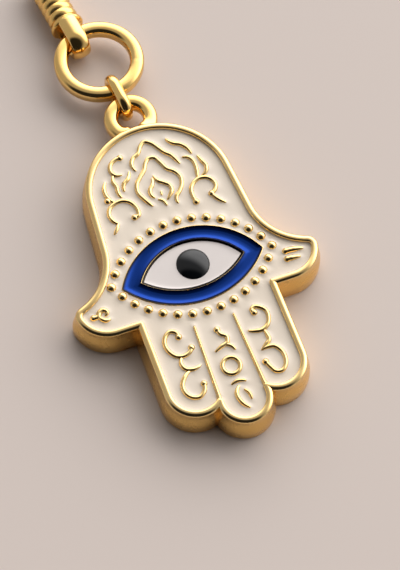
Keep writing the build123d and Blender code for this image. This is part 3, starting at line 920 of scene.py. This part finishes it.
def loose(line):
    """A closed line without repeated points."""
    return [p for p, q in zip(line, np.roll(line, 1, axis=0)) if math.dist(p, q) > repeat_mm]


edge_line = loose(offset_line(-field_edge))
hole_line = loose(almond(*blue_almond, outer_strip / 2))
metal_spots += [(spot, 0.0) for spot in loose(offset_line(-wall_gap))]
grid = [(x, y) for x in np.arange(-grid_reach, grid_reach, grid_mm)
        for y in np.arange(grid_low, grid_high, grid_mm)]
edges = [(i, (i + 1) % len(edge_line)) for i in range(len(edge_line))]
edges += [(len(edge_line) + i, len(edge_line) + (i + 1) % len(hole_line)) for i in range(len(hole_line))]
flat_points, _, triangles, _, _, _ = geometry.delaunay_2d_cdt(
    [Vector(p) for p in edge_line + hole_line + grid], edges, [], keep_inside, merge_mm)
hole_edge = np.array(hole_line)
kept = []
for triangle in triangles:
    middle = sum((flat_points[i] for i in triangle), Vector((0, 0))) / len(triangle)
    if not inside(middle, hole_edge):
        kept.append(tuple(triangle))
print(len(kept), "triangles in the field")

# %% Skin and plate of the ivory
used = sorted({i for triangle in kept for i in triangle})
number = {old: new for new, old in enumerate(used)}
metal_tree = kdtree.KDTree(len(metal_spots))
for i, (spot, _) in enumerate(metal_spots):
    metal_tree.insert((*spot, 0), i)
metal_tree.balance()
skin, plate = [], []
for old in used:
    x, y = flat_points[old]
    _, nearest, distance = metal_tree.find((x, y, 0))
    gap = max(0.0, distance - metal_spots[nearest][1])
    skin.append((x, y, ivory_level + climb * math.exp(-gap / climb_reach)))
    plate.append((x, y, floor_height))
count = len(used)
faces = [tuple(number[i] for i in triangle) for triangle in kept]
sides = dict.fromkeys(side for face in faces for side in zip(face, face[1:] + face[:1]))
outer_sides = [(a, b) for a, b in sides if (b, a) not in sides]
faces += [tuple(count + i for i in reversed(face)) for face in faces]
faces += [(b, a, count + a, count + b) for a, b in outer_sides]
add_piece("ivory_field", skin + plate, faces, "hand", "ivory_enamel", ivory, ["ivory_enamel"])

# %% [markdown]
# ## Bail, link and ring
# A round loop is soldered to the top of the wall. A short oval link stands on edge in it and holds a round
# ring. All three are thick plated wire, and the section of the loop and the ring is squarish with soft
# corners. The loop's ends run into the wall, where the solder makes them a little thicker, and the ring
# shows a faint seam where its wire was closed.

# %% Bail
chain_height, loop_fullness, loop_columns = 2.6, 0.7, 40
bail_middle, bail_reach, bail_wire, bail_ends = np.array((0, 25.8)), 2.8, 1.05, math.radians(-58)
solder_swell, solder_mm = 0.22, 0.9
bail_line = arc(bail_middle, bail_reach, bail_ends, math.pi - 2 * bail_ends)
from_end = np.minimum(np.arange(len(bail_line)), np.arange(len(bail_line))[::-1]) * step_mm
bail_radii = bail_wire + solder_swell * np.exp(-(from_end / solder_mm) ** 2)
bail_shape = wire([(*spot, chain_height) for spot in bail_line], (0, 0, 1), bail_radii,
                  columns=loop_columns, fullness=loop_fullness)
add_piece("bail_loop_wire", *bail_shape, "hand", "gold_plate", wire_gold, ["bail_loop"])

# %% Link
chain_lean = math.radians(6)
chain_way = np.array((-math.sin(chain_lean), math.cos(chain_lean)))
link_length, link_reach, link_wire, link_half_width, link_columns = 2.4, 1.87, 0.62, 0.8, 28
bail_grip = bail_middle + chain_way * bail_reach
link_start = np.array((*bail_grip, chain_height))
link_way, link_side = np.array((*chain_way, 0)), np.cross((*chain_way, 0), (0, 0, 1))
first_end = arc((0, 0), link_reach, math.pi / 2, math.pi)
second_end = arc((link_length, 0), link_reach, -math.pi / 2, math.pi)
link_flat = np.vstack((first_end, straight(first_end[-1], second_end[0])[1:-1], second_end,
                       straight(second_end[-1], first_end[0])[1:-1]))
link_line = [link_start + link_way * along + np.array((0, 0, up)) for along, up in link_flat]
link_shape = wire(link_line, link_side, link_wire, closed=True, columns=link_columns,
                  widen=link_half_width / link_wire)
add_piece("chain_link_wire", *link_shape, "link", "gold_plate", wire_gold, ["chain_link"])

# %% Ring
ring_reach, ring_wire, seam_depth, seam_mm, seam_angle = 5.5, 1.05, 0.012, 0.16, math.radians(-20)
ring_middle = bail_grip + chain_way * (link_length + ring_reach)
ring_line = arc(ring_middle, ring_reach, 0, math.tau)[:-1]
ring_angles = np.arctan2(*(ring_line - ring_middle).T[::-1])
from_seam = np.abs(np.angle(np.exp(1j * (ring_angles - seam_angle)))) * ring_reach
ring_radii = ring_wire - seam_depth * np.exp(-(from_seam / seam_mm) ** 2)
ring_shape = wire([(*spot, chain_height) for spot in ring_line], (0, 0, 1), ring_radii, closed=True,
                  columns=loop_columns, fullness=loop_fullness)
add_piece("hanging_ring_wire", *ring_shape, "ring", "gold_plate", wire_gold, ["hanging_ring"])

# %% [markdown]
# ## Cord end
# The ring is hooked to a cord end: a wire eye on a ribbed barrel that takes a cord. The barrel is a turned
# shape, so its profile, with lip, neck, ribs and bore, is drawn once and turned round its axis.

# %% Eye of the cord end
cap_angle, cap_heading = math.radians(113), math.radians(98)
cap_grip = ring_middle + ring_reach * np.array((math.cos(cap_angle), math.sin(cap_angle)))
cap_way = np.array((math.cos(cap_heading), math.sin(cap_heading)))
cap_start = np.array((*cap_grip, chain_height))
cap_axis, cap_side = np.array((*cap_way, 0)), np.cross((*cap_way, 0), (0, 0, 1))
eye_reach, eye_wire, eye_half_width, eye_legs, eye_inset = 1.9, 0.6, 1.4, 2.2, 0.8
eye_arc = arc((-eye_inset, 0), eye_reach, math.pi / 2, math.pi)
eye_flat = np.vstack((straight((eye_legs, eye_reach), eye_arc[0])[:-1], eye_arc,
                      straight(eye_arc[-1], (eye_legs, -eye_reach))[1:]))
eye_line = [cap_start + cap_axis * along + np.array((0, 0, up)) for along, up in eye_flat]
eye_shape = wire(eye_line, cap_side, eye_wire, columns=link_columns, widen=eye_half_width / eye_wire)
add_piece("cord_end_eye", *eye_shape, "cap", "gold_plate", wire_gold, ["end_cap_eye"])

# %% Barrel of the cord end
lip_start, lip_radius, lip_end, lip_round, lip_steps = 1.9, 2.5, 2.6, 0.25, 5
rib_start, rib_end, rib_count, rib_radius, rib_crest, rib_steps = 3.1, 11.15, 7, 2.1, 0.15, 12
neck_radius, mouth, mouth_chamfer, bore_radius, bore_depth = 2.0, 12.2, 0.2, 1.6, 6.5
barrel = [(lip_start, 0)]
barrel += bend((lip_start + lip_round, lip_radius - lip_round), lip_round, 180, 90, lip_steps)
barrel += bend((lip_end - lip_round, lip_radius - lip_round), lip_round, 90, 0, lip_steps)
barrel += [(lip_end, neck_radius), (rib_start, neck_radius)]
rib_pitch = (rib_end - rib_start) / rib_count
for share in np.linspace(0, rib_count, rib_steps * rib_count + 1):
    wave = abs(math.sin(math.pi * share))
    barrel.append((rib_start + rib_pitch * share, rib_radius + rib_crest * wave))
barrel += [(rib_end, neck_radius), (mouth - mouth_chamfer, neck_radius), (mouth, neck_radius - mouth_chamfer)]
barrel += [(mouth, bore_radius), (mouth - bore_depth, bore_radius), (mouth - bore_depth, 0)]
barrel_shape = turned(barrel, cap_start, cap_axis, columns=round_columns)
# The barrel takes the satin gold too, with the same deeper tint of painted shade.
add_piece("cord_end_barrel", *barrel_shape, "cap", "gold_plate", satin_gold_painted_shade, ["end_cap_barrel"])

# %% [markdown]
# ## Sizes and finish
# The box round this model's pieces is measured.

low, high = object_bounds()
